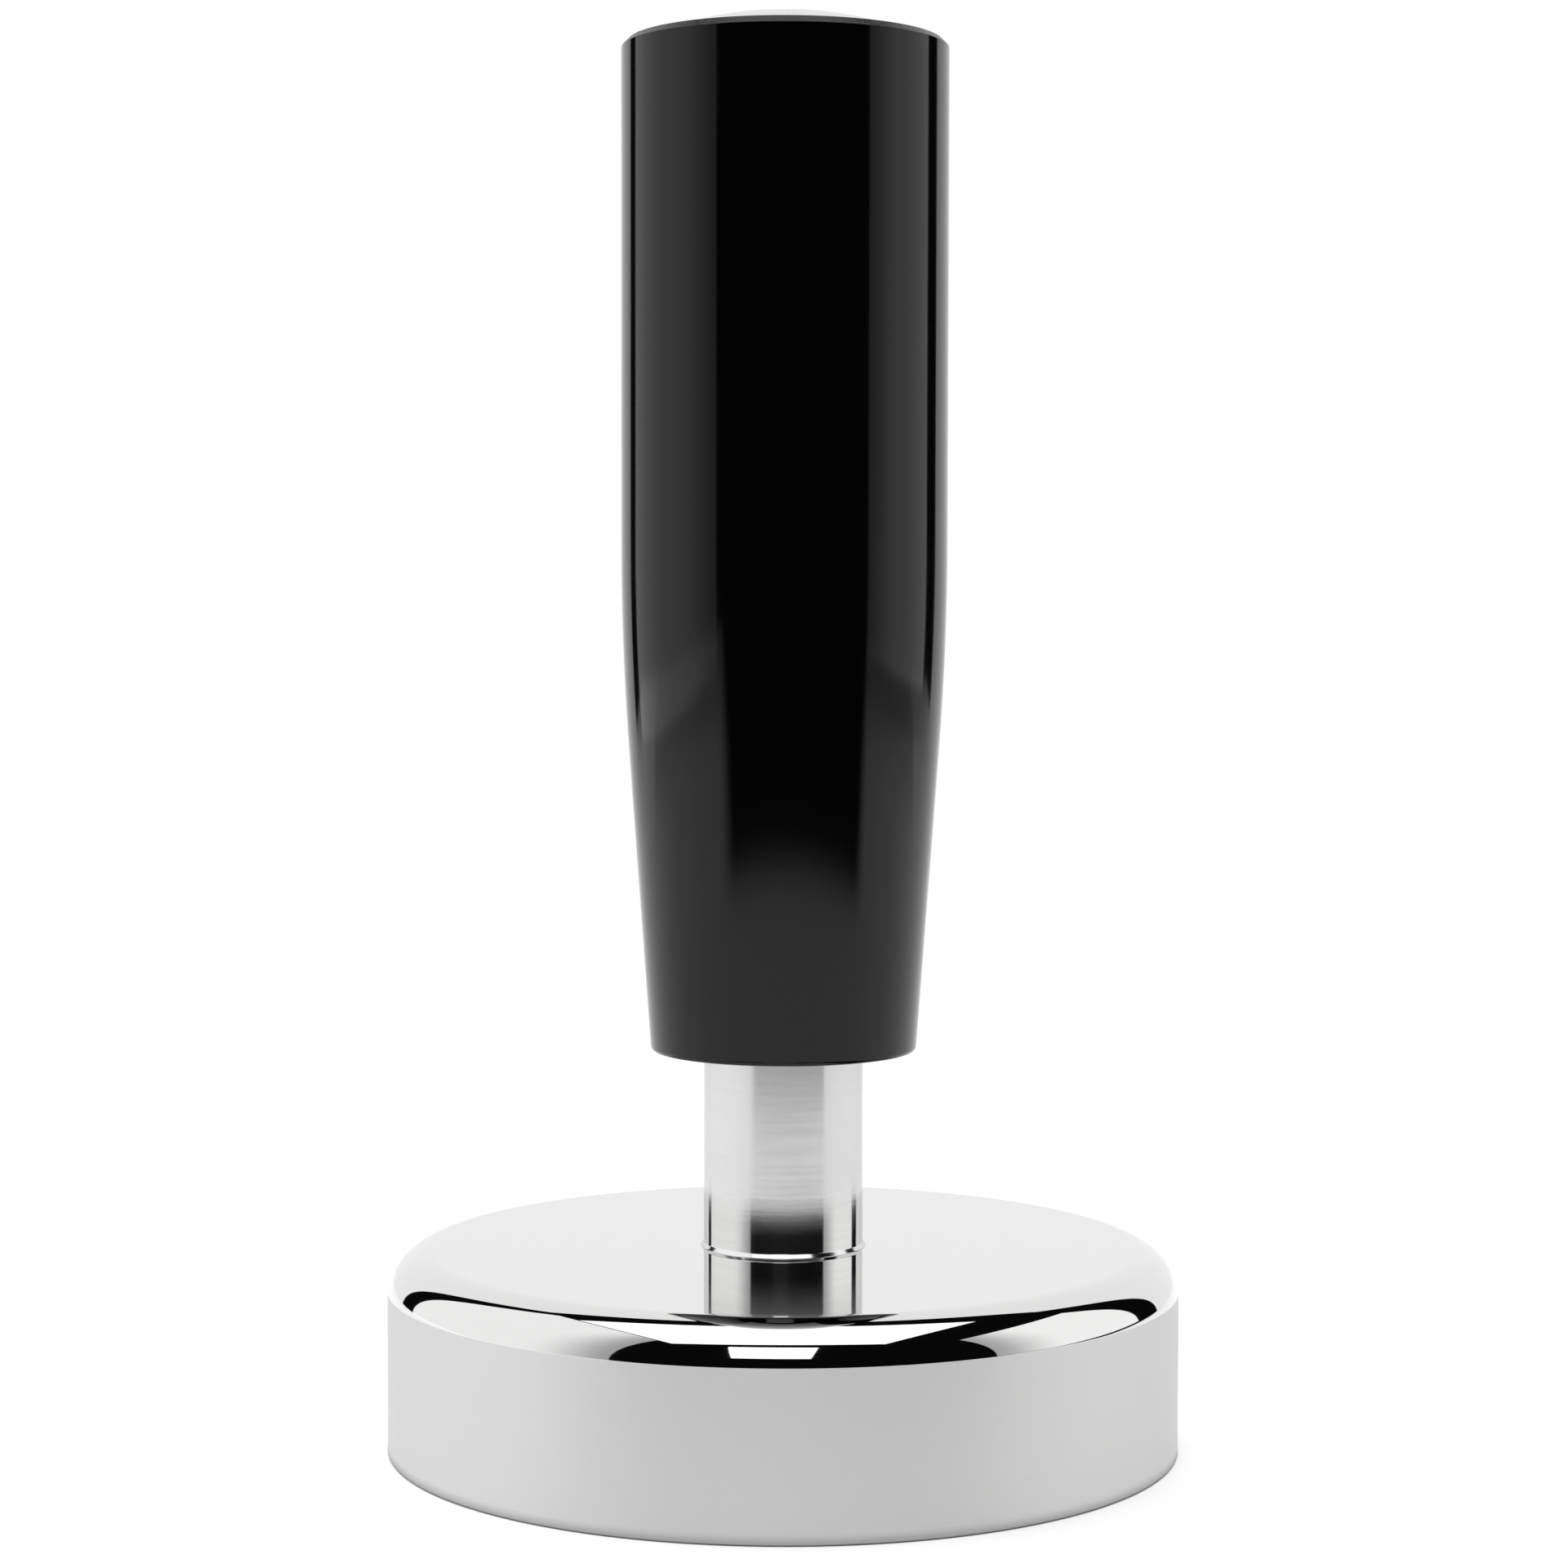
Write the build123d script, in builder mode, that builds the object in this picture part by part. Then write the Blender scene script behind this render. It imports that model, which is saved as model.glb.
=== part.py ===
"""Calibrated espresso tamper: a steel tamping base on a stem, and a spring-loaded handle.

The frame's origin is the centre of the tamping face, with +Z up the stem. Sizes are in
millimetres. The barista presses the handle down, and a preloaded spring inside it passes the
force to the stem. At the calibrated force the handle starts to sink over the stem, until the
spring guide meets the stop pad. Threads are plain cylinders at their nominal size.
"""

import os

from build123d import *

# --- Tamping base ---------------------------------------------------------------------------
base_diameter = 58.5
base_height = 14.8
base_round = 3.37  # radius of the polished round, which runs smoothly into the top
base_round_height = 2.9  # less than the radius, so that the round meets the side at a fine crease
base_foot_edge = 0.25

# --- Stem and the stud that holds it to the base ----------------------------------------------
stem_diameter = 11.8
stem_exposed = 14.5  # bare stem between the base and the handle at rest
stem_foot_flare = 0.25  # bevelled skirt round the foot, on the base
stem_foot_flare_height = 0.3
stem_top_chamfer = 0.4
stud_diameter = 8.0
stud_length = 18.0
stud_in_base = 8.5
stud_chamfer = 0.6
stud_end_gap = 1.0  # drilled depth left beyond each end of the stud
stud_socket_flats = 4.0
stud_socket_depth = 4.0

# --- Handle outside -----------------------------------------------------------------------
handle_diameter = 24.0
handle_foot_diameter = 19.65
handle_length = 74.0
handle_taper_length = 30.2  # from the foot to where the cone's line would meet the cylinder
handle_blend_radius = 200.0
handle_top_chamfer = 0.5
handle_foot_round = 0.45

# --- Handle inside, from the foot up ----------------------------------------------------------
lip_thickness = 1.5
lip_clearance = 0.35  # radial, stem to the mouth of the handle
wiper_height = 2.0
wiper_lip_height = 0.7
bush_wall = 1.6
bush_length = 13.0
bush_edge = 0.4
bumper_thickness = 1.2
bumper_clearance = 0.3  # radial, stem to the bumper's bore

# --- Spring and its seats ---------------------------------------------------------------------
spring_wire = 2.0
spring_mean_diameter = 13.6
spring_fitted_length = 32.5
spring_coils = 7
chamber_clearance = 0.7  # radial, spring to the wall of its chamber
seat_clearance = 0.2  # radial, seats and washers to the wall of the chamber
spigot_clearance = 0.2  # radial, what stands inside the spring to its coils
seat_thickness = 2.5
seat_spigot_height = 4.3
seat_thread_diameter = 8.0
seat_slot_width = 2.0
seat_slot_depth = 1.4
slip_washer_thickness = 0.8
guide_flange_thickness = 2.0
guide_tip_chamfer = 0.8
guide_bore = 6.0
guide_bore_depth = 14.0
handle_stroke = 4.0
stroke_end_gap = 0.05
stop_pad_diameter = 6.4
stop_pad_thickness = 1.6
stop_pad_stub_diameter = 3.6
stop_pad_stub_length = 2.4

# --- Closure at the top -------------------------------------------------------------------
thread_bore_step = 0.5  # radial, from the spring chamber to the adjusting thread
thrust_washer_thickness = 1.0
thrust_washer_bore = 6.5
screw_length = 6.5
screw_edge = 0.4
screw_socket_flats = 8.0
screw_socket_depth = 4.5
lock_ring_thickness = 2.5
lock_ring_bore = 10.5
lock_ring_hole = 1.6
lock_ring_hole_count = 4
cap_land = 1.7  # width of the handle's rim round the cap, its chamfer included
cap_edge_depth = 2.4
cap_edge_round = 0.25
cap_dome_height = 2.0
cap_spigot_length = 3.4
cap_spigot_wall = 2.3
seal_section = 1.5
seal_squeeze = 0.12
seal_side_room = 0.15

# --- Fits ---------------------------------------------------------------------------------
running_gap = 0.03  # radial, stem in its guide bush and its wiper
thread_gap = 0.05  # radial, between plain cylinders that stand for a thread
seat_gap = 0.02  # radial, parts that are pressed, bonded or squeezed in place
cap_gap = 0.05  # radial, cap in the handle's rim

# --- Levels up the stem -----------------------------------------------------------------------
handle_foot = base_height + stem_exposed
handle_top = handle_foot + handle_length
wiper_foot = handle_foot + lip_thickness
bush_foot = wiper_foot + wiper_height
bush_top = bush_foot + bush_length
seat_foot = bush_top + bumper_thickness
seat_top = seat_foot + seat_thickness
spring_foot = seat_top + slip_washer_thickness
spring_top = spring_foot + spring_fitted_length
spigot_top = seat_top + seat_spigot_height
stop_pad_top = spigot_top + stop_pad_thickness
guide_foot = stop_pad_top + handle_stroke + stroke_end_gap
guide_top = spring_top + guide_flange_thickness
screw_foot = guide_top + thrust_washer_thickness
screw_top = screw_foot + screw_length
lock_ring_top = screw_top + lock_ring_thickness
cap_foot = handle_top - cap_edge_depth
seal_level = cap_foot - cap_spigot_length / 2

# --- Radii shared by parts that fit each other --------------------------------------------------
stem_radius = stem_diameter / 2
stud_radius = stud_diameter / 2
stud_hole_radius = stud_radius + thread_gap
handle_radius = handle_diameter / 2
spring_inner_radius = (spring_mean_diameter - spring_wire) / 2
spring_outer_radius = (spring_mean_diameter + spring_wire) / 2
chamber_radius = spring_outer_radius + chamber_clearance
seat_radius = chamber_radius - seat_clearance
spigot_radius = spring_inner_radius - spigot_clearance
bush_bore_radius = stem_radius + running_gap
bush_radius = bush_bore_radius + bush_wall
bush_seat_radius = bush_radius + seat_gap
thread_bore_radius = chamber_radius + thread_bore_step
thread_radius = thread_bore_radius - thread_gap
cap_radius = handle_radius - cap_land
seal_groove_radius = thread_bore_radius - seal_section + seal_squeeze


os.makedirs("parts", exist_ok=True)


# --- Tamping base: flat steel disc with a rounded top edge and a blind thread -------------------
with BuildPart() as tamping_base:
    with BuildSketch(Plane.XZ):
        with BuildLine():
            rim = base_diameter / 2
            round_run = (base_round**2 - (base_round - base_round_height) ** 2) ** 0.5
            round_start = (rim, base_height - base_round_height)
            round_end = (rim - round_run, base_height)
            Polyline(
                round_end,
                (0, base_height),
                (0, 0),
                (rim - base_foot_edge, 0),
                (rim, base_foot_edge),
                round_start,
            )
            RadiusArc(round_start, round_end, -base_round)
        make_face()
    revolve(axis=Axis.Z)
    with BuildSketch(Plane.XY.offset(base_height)):
        Circle(stud_hole_radius)
    extrude(amount=-(stud_in_base + stud_end_gap), mode=Mode.SUBTRACT)
tamping_base.part.label = "tamping_base"
export_step(tamping_base.part, "parts/tamping_base.step")


# --- Base stud: headless screw between the base and the stem --------------------------------------
with BuildPart() as base_stud:
    with BuildSketch(Plane.XY.offset(base_height - stud_in_base)):
        Circle(stud_radius)
    extrude(amount=stud_length)
    chamfer(base_stud.edges().filter_by(GeomType.CIRCLE), length=stud_chamfer)
    with BuildSketch(Plane.XY.offset(base_height - stud_in_base + stud_length)):
        RegularPolygon(radius=stud_socket_flats / 2, side_count=6, major_radius=False)
    extrude(amount=-stud_socket_depth, mode=Mode.SUBTRACT)
base_stud.part.label = "base_stud"
export_step(base_stud.part, "parts/base_stud.step")


# --- Stem: ground shaft, drilled for the stud below, with a threaded spigot on top ------------------
with BuildPart() as stem:
    with BuildSketch(Plane.XY.offset(base_height)):
        Circle(stem_radius)
    extrude(amount=seat_foot - base_height)
    ends = stem.edges().filter_by(GeomType.CIRCLE).sort_by(Axis.Z)
    chamfer(ends[-1], length=stem_top_chamfer)
    with BuildSketch(Plane.XZ):
        Polygon(
            (stud_radius, base_height),
            (stem_radius + stem_foot_flare, base_height),
            (stem_radius, base_height + stem_foot_flare_height),
            (stud_radius, base_height + stem_foot_flare_height),
            align=None,
        )
    revolve(axis=Axis.Z)
    with BuildSketch(Plane.XY.offset(seat_foot)):
        Circle(seat_thread_diameter / 2)
    extrude(amount=spigot_top - seat_foot - seat_slot_depth)
    with BuildSketch(Plane.XY.offset(base_height)):
        Circle(stud_hole_radius)
    extrude(amount=stud_length - stud_in_base + stud_end_gap, mode=Mode.SUBTRACT)
    with BuildSketch(Plane.XY.offset(spigot_top - seat_slot_depth)):
        Circle(stop_pad_stub_diameter / 2 + seat_gap)
    extrude(amount=-stop_pad_stub_length, mode=Mode.SUBTRACT)
stem.part.label = "stem"
export_step(stem.part, "parts/stem.step")


# --- Lower spring seat: flange on top of the stem, screwed on with the slot in its spigot ------------
with BuildPart() as lower_spring_seat:
    with BuildSketch(Plane.XY.offset(seat_foot)):
        Circle(seat_radius)
    extrude(amount=seat_thickness)
    with BuildSketch(Plane.XY.offset(seat_top)):
        Circle(spigot_radius)
    extrude(amount=seat_spigot_height)
    with BuildSketch(Plane.XY.offset(seat_foot)):
        Circle(seat_thread_diameter / 2 + thread_gap)
    extrude(amount=spigot_top - seat_foot, mode=Mode.SUBTRACT)
    with BuildSketch(Plane.XY.offset(spigot_top)):
        Rectangle(2 * seat_radius, seat_slot_width)
    extrude(amount=-seat_slot_depth, mode=Mode.SUBTRACT)
lower_spring_seat.part.label = "lower_spring_seat"
export_step(lower_spring_seat.part, "parts/lower_spring_seat.step")


# --- Stop pad: soft button on the stem's end that the spring guide meets at full stroke ---------------
with BuildPart() as stop_pad:
    with BuildSketch(Plane.XY.offset(spigot_top - seat_slot_depth)):
        Circle(stop_pad_diameter / 2)
    extrude(amount=seat_slot_depth + stop_pad_thickness)
    fillet(stop_pad.edges().filter_by(GeomType.CIRCLE).sort_by(Axis.Z)[-1], radius=bush_edge)
    with BuildSketch(Plane.XY.offset(spigot_top - seat_slot_depth)):
        Circle(stop_pad_stub_diameter / 2)
    extrude(amount=-stop_pad_stub_length + seat_gap)
stop_pad.part.label = "stop_pad"
export_step(stop_pad.part, "parts/stop_pad.step")


# --- Slip washer: lets the spring and the handle turn on the stem's seat ------------------------------
with BuildPart() as slip_washer:
    with BuildSketch(Plane.XY.offset(seat_top)):
        Circle(seat_radius)
        Circle(spigot_radius + seat_gap, mode=Mode.SUBTRACT)
    extrude(amount=slip_washer_thickness)
slip_washer.part.label = "slip_washer"
export_step(slip_washer.part, "parts/slip_washer.step")


# --- Compression spring: open coils, ground flat at both ends -----------------------------------------
spring_pitch = spring_fitted_length / (spring_coils - 1)
with BuildPart() as compression_spring:
    with BuildLine() as coil_line:
        Helix(
            pitch=spring_pitch,
            height=spring_pitch * spring_coils,
            radius=spring_mean_diameter / 2,
            center=(0, 0, spring_foot - spring_pitch / 2),
        )
    with BuildSketch(Plane(coil_line.line @ 0, z_dir=coil_line.line % 0)):
        Circle(spring_wire / 2)
    sweep(path=coil_line.line, is_frenet=True)
    with BuildSketch(Plane.XY.offset(spring_foot)):
        Circle(chamber_radius)
    extrude(amount=spring_fitted_length, mode=Mode.INTERSECT)
compression_spring.part.label = "compression_spring"
export_step(compression_spring.part, "parts/compression_spring.step")


# --- Spring guide: flange on the spring, with a rod that stands inside it ------------------------------
with BuildPart() as spring_guide:
    with BuildSketch(Plane.XY.offset(spring_top)):
        Circle(seat_radius)
    extrude(amount=guide_flange_thickness)
    with BuildSketch(Plane.XY.offset(guide_foot)):
        Circle(spigot_radius)
    extrude(amount=spring_top - guide_foot)
    chamfer(spring_guide.edges().filter_by(GeomType.CIRCLE).sort_by(Axis.Z)[0], length=guide_tip_chamfer)
    with BuildSketch(Plane.XY.offset(guide_top)):
        Circle(guide_bore / 2)
    extrude(amount=-guide_bore_depth, mode=Mode.SUBTRACT)
spring_guide.part.label = "spring_guide"
export_step(spring_guide.part, "parts/spring_guide.step")


# --- Handle: one turned tube, coned towards the foot ----------------------------------------------------
with BuildPart() as handle_body:
    with BuildSketch(Plane.XZ):
        with BuildLine():
            shoulder = (handle_radius, handle_top - handle_top_chamfer)
            FilletPolyline(
                (0, handle_foot),
                (handle_foot_diameter / 2, handle_foot),
                (handle_radius, handle_foot + handle_taper_length),
                shoulder,
                radius=(handle_foot_round, handle_blend_radius),
            )
            Polyline(
                shoulder,
                (handle_radius - handle_top_chamfer, handle_top),
                (0, handle_top),
                (0, handle_foot),
            )
        make_face()
    revolve(axis=Axis.Z)
    for bore_foot, bore_top, bore_radius in (
        (handle_foot, wiper_foot, stem_radius + lip_clearance),
        (wiper_foot, bush_top, bush_seat_radius),
        (bush_top, screw_foot, chamber_radius),
        (screw_foot, cap_foot, thread_bore_radius),
        (cap_foot, handle_top, cap_radius),
    ):
        with BuildSketch(Plane.XY.offset(bore_foot)):
            Circle(bore_radius)
        extrude(amount=bore_top - bore_foot, mode=Mode.SUBTRACT)
handle_body.part.label = "handle_body"
export_step(handle_body.part, "parts/handle_body.step")


# --- Guide bush: plain bearing pressed into the handle's foot ------------------------------------------
with BuildPart() as guide_bush:
    with BuildSketch(Plane.XY.offset(bush_foot)):
        Circle(bush_radius)
        Circle(bush_bore_radius, mode=Mode.SUBTRACT)
    extrude(amount=bush_length)
    chamfer(guide_bush.edges().filter_by(GeomType.CIRCLE), length=bush_edge)
guide_bush.part.label = "guide_bush"
export_step(guide_bush.part, "parts/guide_bush.step")


# --- Wiper ring: keeps coffee out of the bush, with a lip that runs on the stem ------------------------
with BuildPart() as wiper_ring:
    with BuildSketch(Plane.XY.offset(wiper_foot)):
        Circle(bush_radius)
        Circle(stem_radius + lip_clearance, mode=Mode.SUBTRACT)
    extrude(amount=wiper_height)
    with BuildSketch(Plane.XY.offset(wiper_foot)):
        Circle(bush_radius)
        Circle(bush_bore_radius, mode=Mode.SUBTRACT)
    extrude(amount=wiper_lip_height)
wiper_ring.part.label = "wiper_ring"
export_step(wiper_ring.part, "parts/wiper_ring.step")


# --- Bumper ring: the stem's seat comes to rest on it when the handle springs back ----------------------
with BuildPart() as bumper_ring:
    with BuildSketch(Plane.XY.offset(bush_top)):
        Circle(seat_radius)
        Circle(stem_radius + bumper_clearance, mode=Mode.SUBTRACT)
    extrude(amount=bumper_thickness)
bumper_ring.part.label = "bumper_ring"
export_step(bumper_ring.part, "parts/bumper_ring.step")


# --- Thrust washer: the adjusting screw turns on it ------------------------------------------------------
with BuildPart() as thrust_washer:
    with BuildSketch(Plane.XY.offset(guide_top)):
        Circle(seat_radius)
        Circle(thrust_washer_bore / 2, mode=Mode.SUBTRACT)
    extrude(amount=thrust_washer_thickness)
thrust_washer.part.label = "thrust_washer"
export_step(thrust_washer.part, "parts/thrust_washer.step")


# --- Adjusting screw: sets the force at which the handle starts to sink -----------------------------------
with BuildPart() as adjusting_screw:
    with BuildSketch(Plane.XY.offset(screw_foot)):
        Circle(thread_radius)
    extrude(amount=screw_length)
    chamfer(adjusting_screw.edges().filter_by(GeomType.CIRCLE), length=screw_edge)
    with BuildSketch(Plane.XY.offset(screw_top)):
        RegularPolygon(radius=screw_socket_flats / 2, side_count=6, major_radius=False)
    extrude(amount=-screw_socket_depth, mode=Mode.SUBTRACT)
adjusting_screw.part.label = "adjusting_screw"
export_step(adjusting_screw.part, "parts/adjusting_screw.step")


# --- Lock ring: thin nut with pin-spanner holes that holds the adjusting screw's setting ------------------
with BuildPart() as lock_ring:
    with BuildSketch(Plane.XY.offset(screw_top)):
        Circle(thread_radius)
        Circle(lock_ring_bore / 2, mode=Mode.SUBTRACT)
        with PolarLocations((thread_radius + lock_ring_bore / 2) / 2, lock_ring_hole_count):
            Circle(lock_ring_hole / 2, mode=Mode.SUBTRACT)
    extrude(amount=lock_ring_thickness)
lock_ring.part.label = "lock_ring"
export_step(lock_ring.part, "parts/lock_ring.step")


# --- Top cap: domed plug screwed into the handle, with a groove for its seal -------------------------------
with BuildPart() as top_cap:
    with BuildSketch(Plane.XZ):
        with BuildLine():
            dome_foot = (cap_radius - cap_gap, handle_top)
            dome_top = (0, handle_top + cap_dome_height)
            dome_radius = (dome_foot[0] ** 2 + cap_dome_height**2) / (2 * cap_dome_height)
            RadiusArc(dome_foot, dome_top, -dome_radius)
            Polyline(dome_top, (0, cap_foot), (dome_foot[0], cap_foot), dome_foot)
        make_face()
    revolve(axis=Axis.Z)
    fillet(top_cap.edges().filter_by_position(Axis.Z, handle_top, handle_top), radius=cap_edge_round)
    with BuildSketch(Plane.XY.offset(cap_foot)):
        Circle(thread_radius)
        Circle(thread_radius - cap_spigot_wall, mode=Mode.SUBTRACT)
    extrude(amount=-cap_spigot_length)
    with BuildSketch(Plane.XY.offset(seal_level)):
        Circle(thread_radius)
        Circle(seal_groove_radius, mode=Mode.SUBTRACT)
    extrude(amount=seal_section / 2 + seal_side_room, both=True, mode=Mode.SUBTRACT)
top_cap.part.label = "top_cap"
export_step(top_cap.part, "parts/top_cap.step")


# --- Cap seal: rubber ring squeezed between the cap's groove and the handle's bore -------------------------
with BuildPart() as cap_seal:
    with BuildSketch(Plane.XZ):
        with Locations(((seal_groove_radius + thread_bore_radius) / 2, seal_level)):
            Circle((thread_bore_radius - seal_groove_radius) / 2 - seat_gap)
    revolve(axis=Axis.Z)
cap_seal.part.label = "cap_seal"
export_step(cap_seal.part, "parts/cap_seal.step")
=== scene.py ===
"""Looks of a calibrated espresso tamper: polished and turned steel, and a gloss black handle.

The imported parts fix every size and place. The four pieces that show are turned again here as
fine closed meshes of the same shape, and the inner pieces keep their own meshes under better
finishes. Lengths in the classes are millimetres, and meshes are in metres.
"""

import logging
import math
from dataclasses import dataclass, field
from enum import Enum

import bpy
from mathutils import Matrix, Vector

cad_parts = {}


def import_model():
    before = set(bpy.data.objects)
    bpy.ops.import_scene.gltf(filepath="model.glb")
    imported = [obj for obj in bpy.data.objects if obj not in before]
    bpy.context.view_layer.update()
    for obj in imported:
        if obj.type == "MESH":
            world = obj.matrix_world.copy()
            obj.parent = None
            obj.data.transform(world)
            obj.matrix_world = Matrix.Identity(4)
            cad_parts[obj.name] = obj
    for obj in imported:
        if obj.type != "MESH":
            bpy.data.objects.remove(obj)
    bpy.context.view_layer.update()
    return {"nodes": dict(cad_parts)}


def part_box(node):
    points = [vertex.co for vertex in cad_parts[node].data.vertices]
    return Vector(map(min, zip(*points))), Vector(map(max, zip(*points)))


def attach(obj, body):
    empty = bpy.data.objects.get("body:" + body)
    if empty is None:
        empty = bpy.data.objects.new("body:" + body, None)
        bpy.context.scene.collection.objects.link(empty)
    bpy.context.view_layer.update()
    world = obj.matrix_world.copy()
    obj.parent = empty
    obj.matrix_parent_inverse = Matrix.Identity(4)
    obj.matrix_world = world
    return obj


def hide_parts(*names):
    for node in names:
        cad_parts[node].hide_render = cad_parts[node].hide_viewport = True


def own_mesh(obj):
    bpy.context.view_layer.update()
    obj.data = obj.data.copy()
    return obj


LOG = logging.getLogger("tamper")
MM = 0.001

Colour = tuple[float, float, float]
Point = tuple[float, float]


class Body(Enum):
    """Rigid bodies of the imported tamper."""

    BASE = "base"
    HANDLE = "handle"
    SPRING_STACK = "spring_stack"


class Across(Enum):
    """Which way a metal's finishing marks run, as the turn of its stretched highlight."""

    PLAIN = 0.0
    ROUND_THE_AXIS = 0.25


# --- Shader maths ---------------------------------------------------------------------------


class Wire:
    """One socket of a node sheet, so that shader maths reads as plain expressions."""

    def __init__(self, sheet: "NodeSheet", socket: bpy.types.NodeSocket) -> None:
        """Keeps the socket and the sheet that its Math nodes go on.

        Args:
            sheet: the sheet that the socket's node stands on.
            socket: an output socket with a number in it.
        """
        self.sheet = sheet
        self.socket = socket

    def _math(self, operation: str, *values: "Wire | float") -> "Wire":
        """Adds one Math node for these values and returns its result."""
        return self.sheet.node("ShaderNodeMath", {"operation": operation}, dict(enumerate(values)))

    def __add__(self, other: "Wire | float") -> "Wire":
        """Returns self + other."""
        return self._math("ADD", self, other)

    def __radd__(self, other: float) -> "Wire":
        """Returns other + self."""
        return self._math("ADD", other, self)

    def __sub__(self, other: "Wire | float") -> "Wire":
        """Returns self - other."""
        return self._math("SUBTRACT", self, other)

    def __rsub__(self, other: float) -> "Wire":
        """Returns other - self."""
        return self._math("SUBTRACT", other, self)

    def __mul__(self, other: "Wire | float") -> "Wire":
        """Returns self * other."""
        return self._math("MULTIPLY", self, other)

    def __rmul__(self, other: float) -> "Wire":
        """Returns other * self."""
        return self._math("MULTIPLY", other, self)

    def __pow__(self, other: float) -> "Wire":
        """Returns self ** other."""
        return self._math("POWER", self, other)

    def between(self, low: float, high: float) -> "Wire":
        """Returns 0 below low, 1 above high, and a smooth step between them."""
        return self.sheet.node(
            "ShaderNodeMapRange",
            {"interpolation_type": "SMOOTHSTEP"},
            {"Value": self, "From Min": low, "From Max": high},
        )


class NodeSheet:
    """The shader nodes of a material, a light or the world, added one call at a time."""

    def __init__(self, owner: bpy.types.Material | bpy.types.Light | bpy.types.World, end: str) -> None:
        """Starts a sheet that holds nothing but its output.

        Args:
            owner: what the nodes belong to.
            end: the output node's type.
        """
        owner.use_nodes = True
        self.tree = owner.node_tree
        self.tree.nodes.clear()
        self.out = self.tree.nodes.new(end)

    def finish(self, surface: Wire) -> None:
        """Links the last shader to the output."""
        self.tree.links.new(surface.socket, self.out.inputs["Surface"])

    def node(
        self,
        kind: str,
        settings: dict[str, object] | None = None,
        values: dict[str | int, object] | None = None,
        output: str | int = 0,
    ) -> Wire:
        """Adds one node.

        Args:
            kind: the node's type.
            settings: its own properties, which are set first.
            values: for each socket, by name or number, a wire or a constant.
            output: which output is wanted.

        Returns:
            The wanted output.
        """
        node = self.tree.nodes.new(kind)
        for key, value in (settings or {}).items():
            setattr(node, key, value)
        for key, value in (values or {}).items():
            if isinstance(value, Wire):
                self.tree.links.new(value.socket, node.inputs[key])
            else:
                node.inputs[key].default_value = value
        return Wire(self, node.outputs[output])

    def place(self) -> tuple[Wire, Wire, Wire, Wire]:
        """Reads the place on the object, in millimetres.

        Returns:
            The object coordinates as a vector, and its X, Y and Z.
        """
        at = self.node("ShaderNodeTexCoord", output="Object")
        scaled = self.node("ShaderNodeVectorMath", {"operation": "SCALE"}, {0: at, "Scale": 1 / MM})
        split = self.node("ShaderNodeSeparateXYZ", values={0: scaled})
        node = split.socket.node
        return scaled, split, Wire(self, node.outputs["Y"]), Wire(self, node.outputs["Z"])

    def vector(self, x: Wire | float, y: Wire | float, z: Wire | float) -> Wire:
        """Returns three numbers as one vector."""
        return self.node("ShaderNodeCombineXYZ", values={"X": x, "Y": y, "Z": z})

    def noise(self, at: Wire, scale: float, detail: float = 2.0, roughness: float = 0.5) -> Wire:
        """Returns smooth noise from 0 to 1 at these coordinates."""
        values = {"Vector": at, "Scale": scale, "Detail": detail, "Roughness": roughness}
        return self.node("ShaderNodeTexNoise", values=values, output="Fac")

    def blend(self, amount: Wire, low: Colour | Wire, high: Colour | Wire) -> Wire:
        """Returns a colour that goes from low to high with the amount."""
        low, high = (end if isinstance(end, Wire) else (*end, 1.0) for end in (low, high))
        return self.node("ShaderNodeMix", {"data_type": "RGBA"}, {0: amount, 6: low, 7: high}, output=2)

    def bump(self, height: Wire, depth: float) -> Wire:
        """Returns the normal of a surface whose relief is height times depth, in millimetres."""
        return self.node("ShaderNodeBump", values={"Height": height, "Distance": depth * MM})


class MaterialSheet(NodeSheet):
    """A new material's nodes, which end in one Principled shader."""

    def __init__(self, name: str) -> None:
        """Makes the material and its empty sheet.

        Args:
            name: the material's name.
        """
        self.material = bpy.data.materials.new(name)
        super().__init__(self.material, "ShaderNodeOutputMaterial")

    def shade(self, **values: object) -> bpy.types.Material:
        """Ends the sheet in a Principled shader.

        Args:
            values: for each socket, by its name with underscores, a wire or a constant.

        Returns:
            The finished material.
        """
        named = {key.replace("_", " "): value for key, value in values.items()}
        self.finish(self.node("ShaderNodeBsdfPrincipled", values=named))
        return self.material


# --- Finishes -------------------------------------------------------------------------------


def shifted(colour: Colour, factor: float) -> Colour:
    """Returns the colour made lighter or darker by a factor, kept under 1."""
    return tuple(min(1.0, part * factor) for part in colour)


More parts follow.
